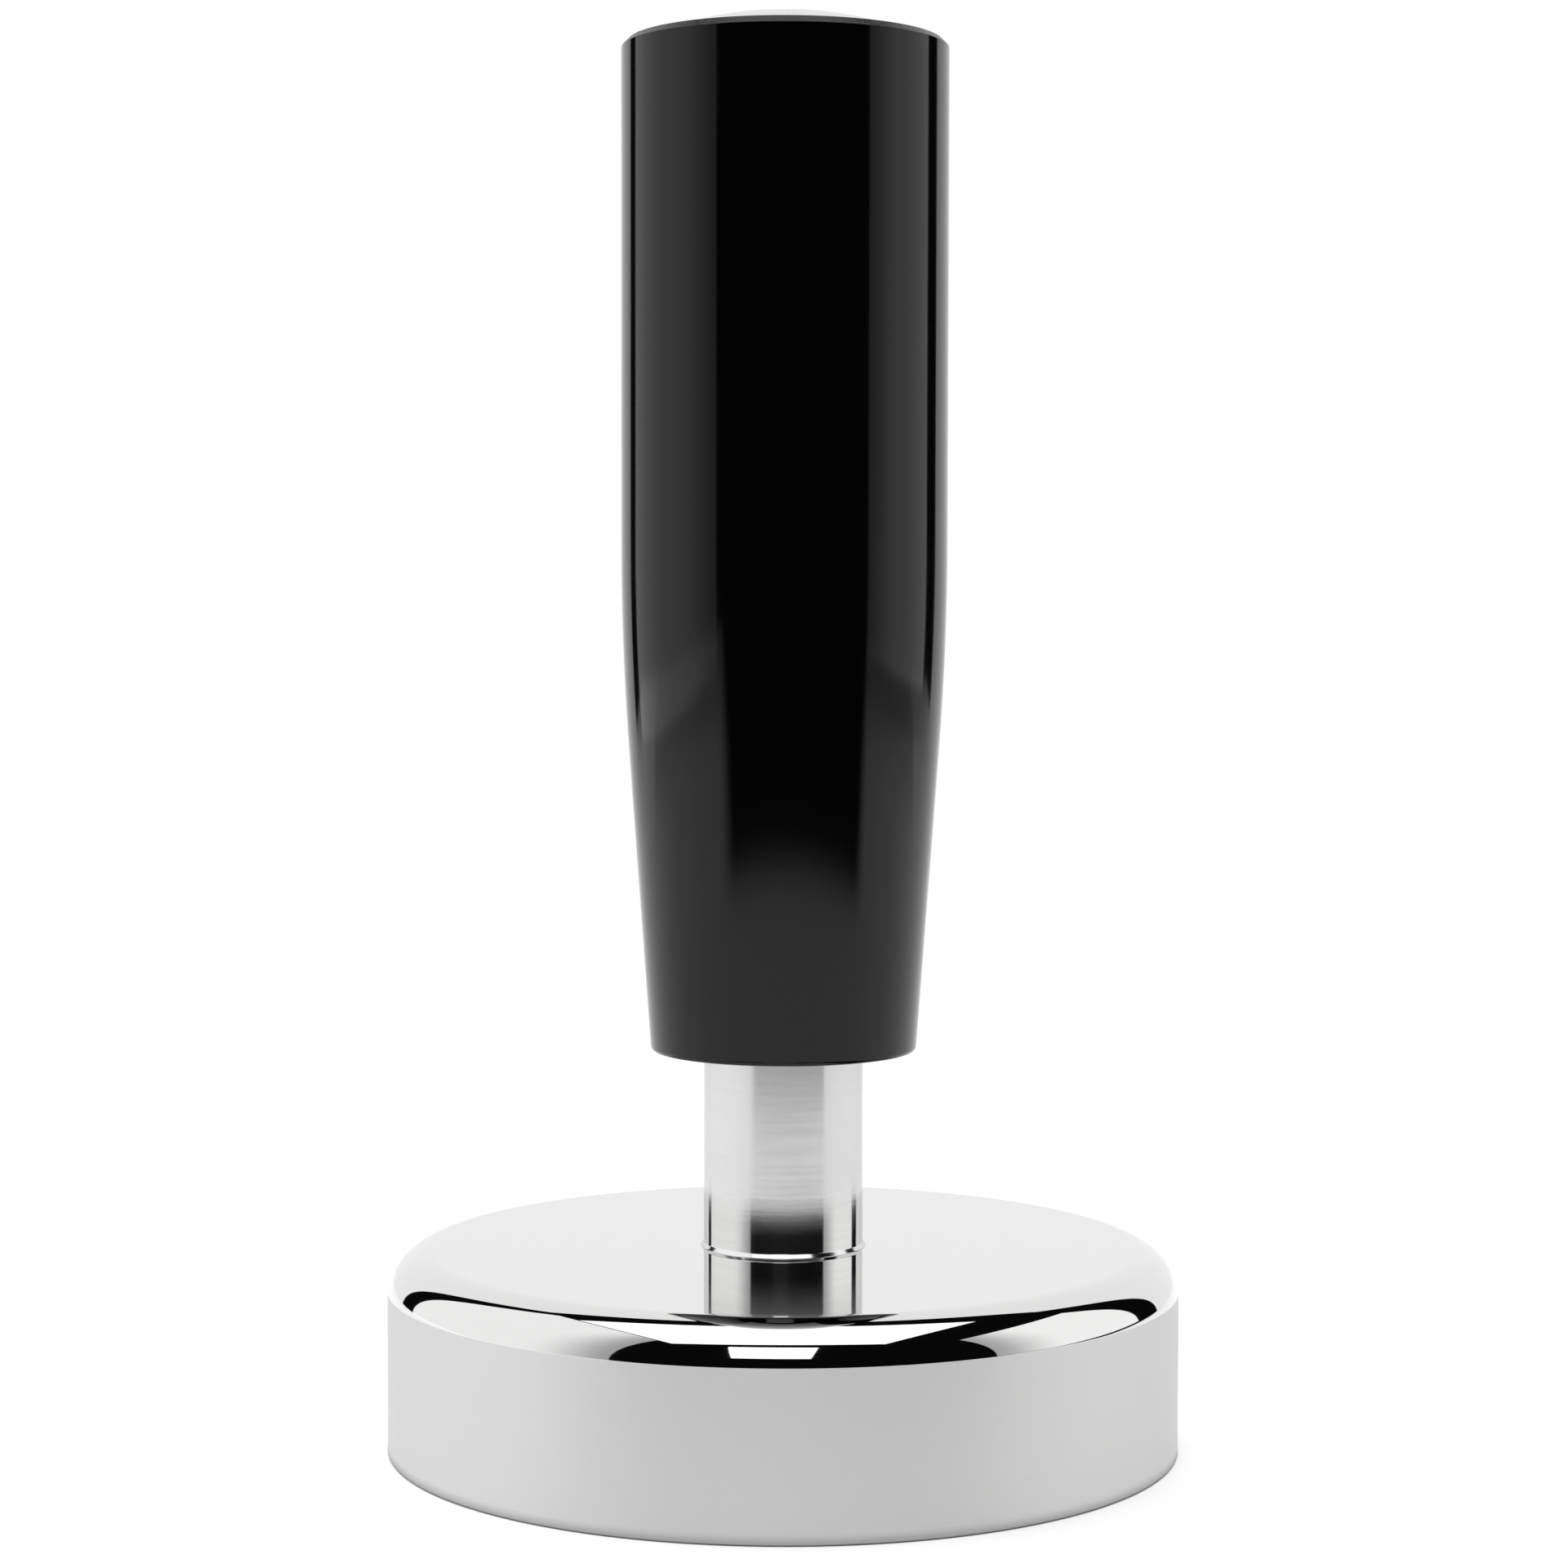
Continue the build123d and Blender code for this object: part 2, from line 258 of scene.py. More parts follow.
@dataclass(frozen=True)
class SteelFinish:
    """Turned, ground or polished metal, with its marks running round the axis, and optionally painted shade
    that darkens its colour at its foot.
    """

    name: str
    colour: Colour
    roughness: float
    roughness_spread: float = 0.04
    tone_spread: float = 0.03
    mark_pitch: float = 0.35
    mark_length: float = 25.0
    mark_depth: float = 0.0004
    hairline_depth: float = 0.0
    stretch: float = 0.0
    across: Across = Across.ROUND_THE_AXIS
    edge_tint: float = 1.0
    sheen: float = 1.0
    foot_zone: tuple[float, float] = (0.0, 0.9)
    painted_foot_shade: float = 0.0
    foot_roughness: float | None = None
    mark_grit: float = 0.72
    mark_band: tuple[float, float] = (0.3, 0.7)
    mark_share: float = 0.75
    patch_scale: float = 0.12
    hairline_scale: float = 1.7
    hairline_grit: float = 0.75

    def material(self) -> bpy.types.Material:
        """Builds the metal.

        Returns:
            The material.
        """
        sheet = MaterialSheet(self.name)
        at, x, y, z = sheet.place()
        radius = (x * x + y * y) ** 0.5
        drift = 1 / self.mark_length
        marks_at = sheet.vector((radius + z) * (1 / self.mark_pitch), x * drift, y * drift)
        marks = sheet.noise(marks_at, scale=1.0, detail=5.0, roughness=self.mark_grit)
        patches = sheet.noise(at, scale=self.patch_scale, detail=3.0)
        hairlines = sheet.noise(at, scale=self.hairline_scale, detail=5.0, roughness=self.hairline_grit)
        tone = marks.between(*self.mark_band) * self.mark_share + patches * (1 - self.mark_share)
        darker = shifted(self.colour, 1 - self.tone_spread)
        lighter = shifted(self.colour, 1 + self.tone_spread)
        colour = sheet.blend(tone, darker, lighter)
        rough = self.roughness + (tone - 0.5) * (2 * self.roughness_spread)
        metallic = self.sheen
        above = z.between(*self.foot_zone)
        # Painted shade: below the foot zone the colour is darkened, standing in for the floor's contact shade.
        if self.painted_foot_shade > 0:
            colour = sheet.blend(above, shifted(self.colour, 1 - self.painted_foot_shade), colour)
        if self.foot_roughness is not None:
            rough = self.foot_roughness + (rough - self.foot_roughness) * above
            metallic = 1.0 - above * (1.0 - self.sheen)
        relief = marks + hairlines * (self.hairline_depth / self.mark_depth)
        return sheet.shade(
            Base_Color=colour,
            Metallic=metallic,
            Specular_Tint=(self.edge_tint, self.edge_tint, self.edge_tint, 1.0),
            Roughness=rough,
            Anisotropic=self.stretch,
            Anisotropic_Rotation=self.across.value,
            Normal=sheet.bump(relief, self.mark_depth),
        )


@dataclass(frozen=True)
class LacquerFinish:
    """Gloss black lacquer on a turned tube, thinner and greyer on the rim's bevel."""

    name: str
    colour: Colour
    rim_colour: Colour
    rim_from: float
    refraction: float = 1.37
    roughness: float = 0.08
    rim_roughness: float = 0.55
    peel_size: float = 1.6
    peel_depth: float = 0.0006
    dust_depth: float = 0.0004
    dust_scale: float = 6.0
    dust_band: tuple[float, float] = (0.42, 0.66)
    rim_wear: float = 0.35
    rim_fade: float = 0.06
    smear_scale: float = 0.09
    smear_spread: float = 0.05

    def material(self) -> bpy.types.Material:
        """Builds the lacquer.

        Returns:
            The material.
        """
        sheet = MaterialSheet(self.name)
        at, _x, _y, z = sheet.place()
        peel = sheet.noise(at, scale=1 / self.peel_size, detail=1.0)
        dust = sheet.noise(at, scale=self.dust_scale, detail=3.0, roughness=0.7)
        smears = sheet.noise(at, scale=self.smear_scale, detail=3.0)
        rim = z.between(self.rim_from, self.rim_from + self.rim_fade)
        speck = dust.between(*self.dust_band)
        worn = rim * (self.rim_wear + speck * (1 - self.rim_wear))
        smeared = self.roughness + (smears - 0.5) * self.smear_spread
        rough = smeared + worn * (self.rim_roughness - self.roughness)
        relief = peel + dust * (self.dust_depth / self.peel_depth) * rim
        return sheet.shade(
            Base_Color=sheet.blend(worn, self.colour, self.rim_colour),
            Roughness=rough,
            IOR=self.refraction,
            Normal=sheet.bump(relief, self.peel_depth),
        )


@dataclass(frozen=True)
class PolymerFinish:
    """Moulded rubber or plastic with a fine matt grain."""

    name: str
    colour: Colour
    roughness: float
    grain_size: float = 0.25
    grain_depth: float = 0.004
    roughness_spread: float = 0.08
    tone_spread: float = 0.15

    def material(self) -> bpy.types.Material:
        """Builds the rubber or plastic.

        Returns:
            The material.
        """
        sheet = MaterialSheet(self.name)
        at, _x, _y, _z = sheet.place()
        grain = sheet.noise(at, scale=1 / self.grain_size, detail=4.0, roughness=0.6)
        patches = sheet.noise(at, scale=0.3, detail=2.0)
        darker = shifted(self.colour, 1 - self.tone_spread)
        lighter = shifted(self.colour, 1 + self.tone_spread)
        return sheet.shade(
            Base_Color=sheet.blend(patches, darker, lighter),
            Roughness=self.roughness + (grain - 0.5) * (2 * self.roughness_spread),
            Normal=sheet.bump(grain, self.grain_depth),
        )


# --- Turned shapes --------------------------------------------------------------------------


@dataclass
class Outline:
    """Half section of a turned piece, drawn corner by corner as (radius, height)."""

    arc_step: float = 6.0
    arc_least: int = 12
    collar: float = 0.03
    points: list[Point] = field(default_factory=list)

    def start(self, at: Point) -> "Outline":
        """Puts down the first point and returns the outline."""
        self.points = [at]
        return self

    def corners(self, *corners: tuple[float, float, float]) -> "Outline":
        """Adds straight runs with rounded corners.

        Args:
            corners: (radius, height, rounding) for each corner. A rounding of 0 is a sharp one.

        Returns:
            The outline.
        """
        first = self.points[-1]
        for index, (r, z, rounding) in enumerate(corners):
            here = Vector((r, z))
            before = Vector(first if index == 0 else corners[index - 1][:2])
            if rounding <= 0 or index + 1 == len(corners):
                self._collared(here)
                continue
            after = Vector(corners[index + 1][:2])
            self._round(before, here, after, rounding)
        return self

    def _collared(self, here: Vector) -> None:
        """Adds a sharp corner, with a close point before it and after the last one.

        Args:
            here: the corner.
        """
        last = Vector(self.points[-1])
        run = here - last
        if run.length > 4 * self.collar:
            step = run.normalized() * self.collar
            self.points.append(tuple(last + step))
            self.points.append(tuple(here - step))
        self.points.append(tuple(here))

    def _round(self, before: Vector, here: Vector, after: Vector, rounding: float) -> None:
        """Adds an arc that is tangent to the runs on both sides of a corner.

        Args:
            before: the corner before it.
            here: the corner to round.
            after: the corner after it.
            rounding: the arc's radius, in millimetres.
        """
        into, out = (before - here).normalized(), (after - here).normalized()
        half = into.angle(out) / 2
        reach = rounding / math.tan(half)
        centre = here + (into + out).normalized() * (rounding / math.sin(half))
        self._collared(here + into * reach)
        begin, end = here + into * reach - centre, here + out * reach - centre
        turn = math.atan2(begin.x * end.y - begin.y * end.x, begin.dot(end))
        steps = max(self.arc_least, math.ceil(abs(math.degrees(turn)) / self.arc_step))
        for step in range(1, steps + 1):
            spun = Matrix.Rotation(turn * step / steps, 2) @ begin
            self.points.append(tuple(centre + spun))

    def arc_to(self, end: Point, radius: float) -> "Outline":
        """Adds an arc that bulges up and outwards.

        Args:
            end: where the arc ends.
            radius: its radius, in millimetres.

        Returns:
            The outline.
        """
        begin, end_at = Vector(self.points[-1]), Vector(end)
        chord = end_at - begin
        rise = math.sqrt(radius**2 - (chord.length / 2) ** 2)
        inward = Vector((-chord.y, chord.x)).normalized()
        centre = (begin + end_at) / 2 + inward * rise
        sweep = 2 * math.asin(chord.length / 2 / radius)
        steps = max(self.arc_least, math.ceil(math.degrees(sweep)))
        for step in range(1, steps + 1):
            spun = Matrix.Rotation(sweep * step / steps, 2) @ (begin - centre)
            self.points.append(tuple(centre + spun))
        return self


class Lathe:
    """Turns outlines into closed meshes with one Geometry Nodes tree."""

    SEAM = 0.000001
    CREASE_DEGREES = 24

    def __init__(self) -> None:
        """Builds the tree."""
        self.tree = bpy.data.node_groups.new("turn_outline", "GeometryNodeTree")
        face = self.tree.interface
        face.new_socket("Geometry", in_out="INPUT", socket_type="NodeSocketGeometry")
        self.sockets = {
            name: face.new_socket(name, in_out="INPUT", socket_type=kind).identifier
            for name, kind in (
                ("Segments", "NodeSocketInt"),
                ("Crease angle", "NodeSocketFloat"),
                ("Split height", "NodeSocketFloat"),
                ("Upper finish", "NodeSocketMaterial"),
                ("Lower finish", "NodeSocketMaterial"),
            )
        }
        face.new_socket("Geometry", in_out="OUTPUT", socket_type="NodeSocketGeometry")
        self._wire()

    def _add(
        self,
        kind: str,
        settings: dict[str, object] | None = None,
        values: dict[str | int, object] | None = None,
        output: str | int = 0,
    ) -> bpy.types.NodeSocket | None:
        """Adds one node.

        Args:
            kind: the node's type.
            settings: its own properties, which are set first.
            values: for each socket, by name or number, a link or a constant.
            output: which output is wanted.

        Returns:
            The wanted output, or nothing for the tree's end.
        """
        node = self.tree.nodes.new(kind)
        for key, value in (settings or {}).items():
            setattr(node, key, value)
        for key, value in (values or {}).items():
            if isinstance(value, bpy.types.NodeSocket):
                self.tree.links.new(value, node.inputs[key])
            else:
                node.inputs[key].default_value = value
        return node.outputs[output] if len(node.outputs) else None

    def _math(self, operation: str, *values: object) -> bpy.types.NodeSocket:
        """Adds one Math node and returns its result."""
        return self._add("ShaderNodeMath", {"operation": operation}, dict(enumerate(values)))

    def _wire(self) -> None:
        """Wires the tree: a grid takes its columns from the outline and its rows from the turn."""
        outline = self._add("NodeGroupInput", output="Geometry")
        given = outline.node.outputs
        count = self._add("GeometryNodeAttributeDomainSize", values={"Geometry": outline})
        rows = self._math("ADD", given["Segments"], 1.0)
        grid = self._add("GeometryNodeMeshGrid", values={"Vertices X": count, "Vertices Y": rows})
        index = self._add("GeometryNodeInputIndex")
        column = self._math("FLOOR", self._math("DIVIDE", self._math("ADD", index, 0.5), rows))
        row = self._math("SUBTRACT", index, self._math("MULTIPLY", column, rows))
        place = self._add("GeometryNodeInputPosition")
        picked = self._add(
            "GeometryNodeSampleIndex",
            {"data_type": "FLOAT_VECTOR"},
            {"Geometry": outline, "Value": place, "Index": column},
        )
        turn = self._math("MULTIPLY", self._math("DIVIDE", row, given["Segments"]), math.tau)
        spun = self._add(
            "ShaderNodeVectorRotate", {"rotation_type": "Z_AXIS"}, {"Vector": picked, "Angle": turn}
        )
        moved = self._add("GeometryNodeSetPosition", values={"Geometry": grid, "Position": spun})
        welded = self._add("GeometryNodeMergeByDistance", values={"Geometry": moved, "Distance": self.SEAM})
        smooth = self._add("GeometryNodeSetShadeSmooth", {"domain": "FACE"}, {"Geometry": welded})
        bend = self._add("GeometryNodeInputMeshEdgeAngle", output="Unsigned Angle")
        sharp = self._compare("GREATER_THAN", bend, given["Crease angle"])
        creased = self._add(
            "GeometryNodeSetShadeSmooth",
            {"domain": "EDGE"},
            {"Geometry": smooth, "Selection": sharp, "Shade Smooth": False},
        )
        real = self._add("GeometryNodeRealizeInstances", values={"Geometry": creased})
        upper = self._add(
            "GeometryNodeSetMaterial", values={"Geometry": real, "Material": given["Upper finish"]}
        )
        height = self._add("ShaderNodeSeparateXYZ", values={0: place}, output="Z")
        low = self._compare("LESS_THAN", height, given["Split height"])
        lower = self._add(
            "GeometryNodeSetMaterial",
            values={"Geometry": upper, "Selection": low, "Material": given["Lower finish"]},
        )
        self._add("NodeGroupOutput", values={"Geometry": lower})

    def _compare(
        self, operation: str, one: bpy.types.NodeSocket, other: bpy.types.NodeSocket
    ) -> bpy.types.NodeSocket:
        """Adds one comparison of two numbers and returns its result."""
        settings = {"data_type": "FLOAT", "operation": operation}
        return self._add("FunctionNodeCompare", settings, {0: one, 1: other})

    def turn(
        self,
        name: str,
        outline: Outline,
        upper: bpy.types.Material,
        lower: bpy.types.Material | None = None,
        split: float = 0.0,
        segments: int = 256,
    ) -> bpy.types.Object:
        """Turns one outline about the Z axis.

        Args:
            name: the piece's name.
            outline: its half section, in millimetres.
            upper: the finish above the split height.
            lower: the finish below it.
            split: the split height, in millimetres.
            segments: how many flats go round.

        Returns:
            A plain mesh object at the origin.
        """
        mesh = bpy.data.meshes.new(name + "_outline")
        points = [(r * MM, 0.0, z * MM) for r, z in outline.points]
        mesh.from_pydata(points, [(i, i + 1) for i in range(len(points) - 1)], [])
        rough = bpy.data.objects.new(name + "_outline", mesh)
        bpy.context.scene.collection.objects.link(rough)
        modifier = rough.modifiers.new("turn", "NODES")
        modifier.node_group = self.tree
        for key, value in (
            ("Segments", segments),
            ("Crease angle", math.radians(self.CREASE_DEGREES)),
            ("Split height", split * MM),
            ("Upper finish", upper),
            ("Lower finish", lower or upper),
        ):
            modifier[self.sockets[key]] = value
        rough.update_tag()
        graph = bpy.context.evaluated_depsgraph_get()
        turned = bpy.data.meshes.new_from_object(rough.evaluated_get(graph), depsgraph=graph)
        rough.modifiers.remove(modifier)
        bpy.data.objects.remove(rough)
        turned.name = name
        piece = bpy.data.objects.new(name, turned)
        bpy.context.scene.collection.objects.link(piece)
        return piece


# --- The tamper's pieces --------------------------------------------------------------------


def height_of(node: str) -> tuple[float, float]:
    """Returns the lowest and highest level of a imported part, in millimetres."""
    low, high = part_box(node)
    return low.z / MM, high.z / MM


def radius_of(node: str) -> float:
    """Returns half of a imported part's width, in millimetres."""
    low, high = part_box(node)
    return (high.x - low.x) / 2 / MM


def show(piece: bpy.types.Object, body: Body, node: str) -> None:
    """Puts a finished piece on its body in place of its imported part, and logs it.

    Args:
        piece: the mesh to show.
        body: the body that it moves with.
        node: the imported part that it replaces.
    """
    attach(piece, body.value)
    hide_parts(node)
    LOG.info("%s: %d faces on body %s", piece.name, len(piece.data.polygons), body.value)


@dataclass
class TampingBase:
    """Flat steel disc: mirror-polished on top and over its edge, satin on its side."""

    edge_round: float = 3.37
    edge_height: float = 2.9
    foot_edge: float = 0.25
    thread_radius: float = 4.05
    thread_depth: float = 9.5
    polish: SteelFinish = SteelFinish(
        "polished_steel", (0.74, 0.74, 0.735), roughness=0.03, roughness_spread=0.012, tone_spread=0.01,
        mark_pitch=0.5, mark_depth=0.00003, hairline_depth=0.00003,
    )
    # The satin side carries painted shade: its lowest 0.9 mm is darker, as contact shade at the floor.
    satin: SteelFinish = SteelFinish(
        "satin_steel", (0.7, 0.7, 0.697), roughness=0.42, roughness_spread=0.03, tone_spread=0.012,
        mark_pitch=0.16, mark_length=12.0, mark_depth=0.0006, stretch=0.5, edge_tint=0.8, sheen=0.6,
        painted_foot_shade=0.4,
    )

    def crease(self) -> float:
        """Returns the level where the round meets the side, in millimetres."""
        return height_of("tamping_base")[1] - self.edge_height

    def outline(self) -> Outline:
        """Draws the half section, from the axis out, up, over the round and down the thread.

        Returns:
            The outline.
        """
        top = height_of("tamping_base")[1]
        rim = radius_of("tamping_base")
        run = math.sqrt(self.edge_round**2 - (self.edge_round - self.edge_height) ** 2)
        drawn = Outline().start((0.0, 0.0))
        drawn.corners((rim, 0.0, self.foot_edge), (rim, self.crease(), 0.0))
        drawn.arc_to((rim - run, top), self.edge_round)
        return drawn.corners(
            (self.thread_radius, top, 0.0),
            (self.thread_radius, top - self.thread_depth, 0.0),
            (0.0, top - self.thread_depth, 0.0),
        )

    def build(self, lathe: Lathe) -> bpy.types.Object:
        """Turns the base and puts it on its body.

        Args:
            lathe: the shared lathe tree.

        Returns:
            The piece.
        """
        polish, satin = self.polish.material(), self.satin.material()
        piece = lathe.turn("polished_base", self.outline(), polish, satin, self.crease(), segments=384)
        show(piece, Body.BASE, "tamping_base")
        return piece


@dataclass
class Stem:
    """Bare turned shaft between the base and the handle."""

    foot_flare: float = 0.25
    foot_flare_height: float = 0.3
    foot_edge: float = 0.02
    flare_blend: float = 0.1
    top_chamfer: float = 0.4
    shoulder_edge: float = 0.08
    tip_edge: float = 0.04
    spigot_radius: float = 4.0
    stud_radius: float = 4.05
    stud_depth: float = 10.5
    pad_radius: float = 1.82
    pad_depth: float = 2.4
    metal: SteelFinish = SteelFinish(
        "turned_stem", (0.77, 0.77, 0.766), roughness=0.13, roughness_spread=0.04, tone_spread=0.03,
        mark_pitch=0.3, mark_length=8.0, mark_depth=0.002, stretch=0.8, edge_tint=0.8, sheen=0.65,
        foot_zone=(16.0, 21.0), foot_roughness=0.11,
    )

    def outline(self) -> Outline:
        """Draws the half section, from the stud's hole out and up to the pad's hole.

        Returns:
            The outline.
        """
        foot, top = height_of("stem")
        shoulder = height_of("lower_spring_seat")[0]
        side = radius_of("stem") - self.foot_flare
        drawn = Outline().start((0.0, foot + self.stud_depth))
        return drawn.corners(
            (self.stud_radius, foot + self.stud_depth, 0.0),
            (self.stud_radius, foot, 0.0),
            (side + self.foot_flare, foot, self.foot_edge),
            (side, foot + self.foot_flare_height, self.flare_blend),
            (side, shoulder - self.top_chamfer, self.shoulder_edge),
            (side - self.top_chamfer, shoulder, self.tip_edge),
            (self.spigot_radius, shoulder, 0.0),
            (self.spigot_radius, top, 0.0),
            (self.pad_radius, top, 0.0),
            (self.pad_radius, top - self.pad_depth, 0.0),
            (0.0, top - self.pad_depth, 0.0),
        )

    def build(self, lathe: Lathe) -> bpy.types.Object:
        """Turns the stem and puts it on the base's body.

        Args:
            lathe: the shared lathe tree.

        Returns:
            The piece.
        """
        piece = lathe.turn("turned_stem", self.outline(), self.metal.material())
        show(piece, Body.BASE, "stem")
        return piece


@dataclass
class Handle:
    """Long black grip: a lacquered tube, coned towards its foot, with stepped bores inside."""

    foot_radius: float = 9.825
    taper_length: float = 30.2
    waist_blend: float = 200.0
    foot_round: float = 0.45
    rim_chamfer: float = 0.5
    rim_edge: float = 0.08
    top_edge: float = 0.06
    bore_edge: float = 0.05
    wear_start: float = 0.03
    mouth_radius: float = 6.25
    lip: float = 1.5
    bush_radius: float = 7.55
    chamber_radius: float = 8.5
    thread_radius: float = 9.0
    cap_radius: float = 10.3
    cap_depth: float = 2.4

    def outline(self) -> Outline:
        """Draws the closed half section: up the outside, then down through the bores.

        Returns:
            The outline.
        """
        foot, top = height_of("handle_body")
        side = radius_of("handle_body")
        bush_top = height_of("guide_bush")[1]
        thread_foot = height_of("adjusting_screw")[0]
        start = ((self.mouth_radius + self.foot_radius) / 2, foot)
        return Outline().start(start).corners(
            (self.foot_radius, foot, self.foot_round),
            (side, foot + self.taper_length, self.waist_blend),
            (side, top - self.rim_chamfer, self.rim_edge),
            (side - self.rim_chamfer, top, self.top_edge),
            (self.cap_radius, top, self.bore_edge),
            (self.cap_radius, top - self.cap_depth, 0.0),
            (self.thread_radius, top - self.cap_depth, 0.0),
            (self.thread_radius, thread_foot, 0.0),
            (self.chamber_radius, thread_foot, 0.0),
            (self.chamber_radius, bush_top, 0.0),
            (self.bush_radius, bush_top, 0.0),
            (self.bush_radius, foot + self.lip, 0.0),
            (self.mouth_radius, foot + self.lip, 0.0),
            (self.mouth_radius, foot, self.bore_edge),
            (*start, 0.0),
        )

    def build(self, lathe: Lathe) -> bpy.types.Object:
        """Turns the handle and puts it on its body.

        Args:
            lathe: the shared lathe tree.

        Returns:
            The piece.
        """
        _foot, top = height_of("handle_body")
        lacquer = LacquerFinish(
            "black_lacquer", colour=(0.0012, 0.0012, 0.0013), rim_colour=(0.055, 0.055, 0.056),
            rim_from=top - self.rim_chamfer - self.wear_start,
        )
        piece = lathe.turn("lacquered_handle", self.outline(), lacquer.material())
        show(piece, Body.HANDLE, "handle_body")
        return piece


@dataclass
class TopCap:
    """Polished plug with a low dome, screwed into the handle's rim."""

    dome_height: float = 2.0
    edge_round: float = 0.25
    flange: float = 2.4
    spigot: float = 3.4
    spigot_radius: float = 8.95
    spigot_bore: float = 6.65
    groove_radius: float = 7.62
    groove_width: float = 1.8
    metal: SteelFinish = SteelFinish(
        "polished_cap", (0.74, 0.74, 0.735), roughness=0.28, roughness_spread=0.04, tone_spread=0.01,
        mark_pitch=0.4, mark_depth=0.0002, hairline_depth=0.0001,
    )

    def outline(self) -> Outline:
        """Draws the half section, from the spigot's bore out, up and over the dome.

        Returns:
            The outline.
        """
        foot, apex = height_of("top_cap")
        side = radius_of("top_cap")
        rim = apex - self.dome_height
        flange_foot = rim - self.flange
        groove_low = flange_foot - self.spigot / 2 - self.groove_width / 2
        run = 3 * self.edge_round
        drawn = Outline().start((0.0, flange_foot))
        drawn.corners(
            (self.spigot_bore, flange_foot, 0.0),
            (self.spigot_bore, foot, 0.0),
            (self.spigot_radius, foot, 0.0),
            (self.spigot_radius, groove_low, 0.0),
            (self.groove_radius, groove_low, 0.0),
            (self.groove_radius, groove_low + self.groove_width, 0.0),
            (self.spigot_radius, groove_low + self.groove_width, 0.0),
            (self.spigot_radius, flange_foot, 0.0),
            (side, flange_foot, 0.0),
            (side, rim, self.edge_round),
            (side - run, rim + self.dome_slope() * run, 0.0),
        )
        drawn.points = drawn.points[:-1]
        return drawn.arc_to((0.0, apex), self.dome_radius())

    def dome_radius(self) -> float:
        """Returns the dome's radius from its width and height, in millimetres."""
        side = radius_of("top_cap")
        return (side**2 + self.dome_height**2) / (2 * self.dome_height)

    def dome_slope(self) -> float:
        """Returns how steeply the dome rises at its edge, as height over run."""
        side = radius_of("top_cap")
        return side / (self.dome_radius() - self.dome_height)

    def build(self, lathe: Lathe) -> bpy.types.Object:
        """Turns the cap and puts it on the handle's body.

        Args:
            lathe: the shared lathe tree.

        Returns:
            The piece.
        """
        piece = lathe.turn("polished_cap", self.outline(), self.metal.material())
        show(piece, Body.HANDLE, "top_cap")
        return piece


@dataclass
class InnerPieces:
    """What the handle hides: each part keeps its own mesh and gets its own finish.

    The spring is shown by a copy of its mesh.
    """

    stroke: float = 4.0

    def finishes(self) -> dict[tuple[str, ...], SteelFinish | PolymerFinish]:
        """Lists the parts by finish.

        Returns:
            The finish of each group of parts.
        """
        return {
            ("lower_spring_seat", "spring_guide"): SteelFinish(
                "lathe_steel", (0.56, 0.56, 0.55), roughness=0.28, mark_depth=0.002
            ),
            ("base_stud", "adjusting_screw"): SteelFinish(
                "screw_steel", (0.30, 0.30, 0.31), roughness=0.4, mark_depth=0.001
            ),
            ("compression_spring",): SteelFinish(
                "spring_wire", (0.24, 0.24, 0.25), roughness=0.33, mark_pitch=0.6, across=Across.PLAIN
            ),
            ("thrust_washer", "lock_ring"): SteelFinish(
                "plain_brass", (0.80, 0.58, 0.24), roughness=0.3, mark_depth=0.001
            ),
            ("guide_bush",): SteelFinish(
                "sintered_bronze", (0.50, 0.32, 0.16), roughness=0.5, mark_pitch=0.1, mark_depth=0.003,
                across=Across.PLAIN,
            ),
            ("slip_washer",): PolymerFinish("slip_plastic", (0.78, 0.76, 0.68), roughness=0.45),
            ("stop_pad", "bumper_ring"): PolymerFinish(
                "pad_rubber", (0.03, 0.03, 0.03), roughness=0.7, grain_depth=0.01
            ),
            ("wiper_ring", "cap_seal"): PolymerFinish("seal_rubber", (0.018, 0.018, 0.018), roughness=0.6),
        }

    def dress(self, nodes: dict[str, bpy.types.Object]) -> None:
        """Gives each hidden part its finish.

        Args:
            nodes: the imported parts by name.
        """
        for names, finish in self.finishes().items():
            material = finish.material()
            for name in names:
                nodes[name].data.materials.clear()
                nodes[name].data.materials.append(material)
                LOG.info("%s: %s", name, finish.name)
        self.coil(nodes["compression_spring"])

    def coil(self, spring: bpy.types.Object) -> None:
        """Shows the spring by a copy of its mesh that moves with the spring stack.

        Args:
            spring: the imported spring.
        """
        piece = bpy.data.objects.new("pressed_spring", spring.data.copy())
        piece.matrix_world = spring.matrix_world
        bpy.context.scene.collection.objects.link(piece)
        show(piece, Body.SPRING_STACK, "compression_spring")
        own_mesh(piece)


# --- Studio ---------------------------------------------------------------------------------


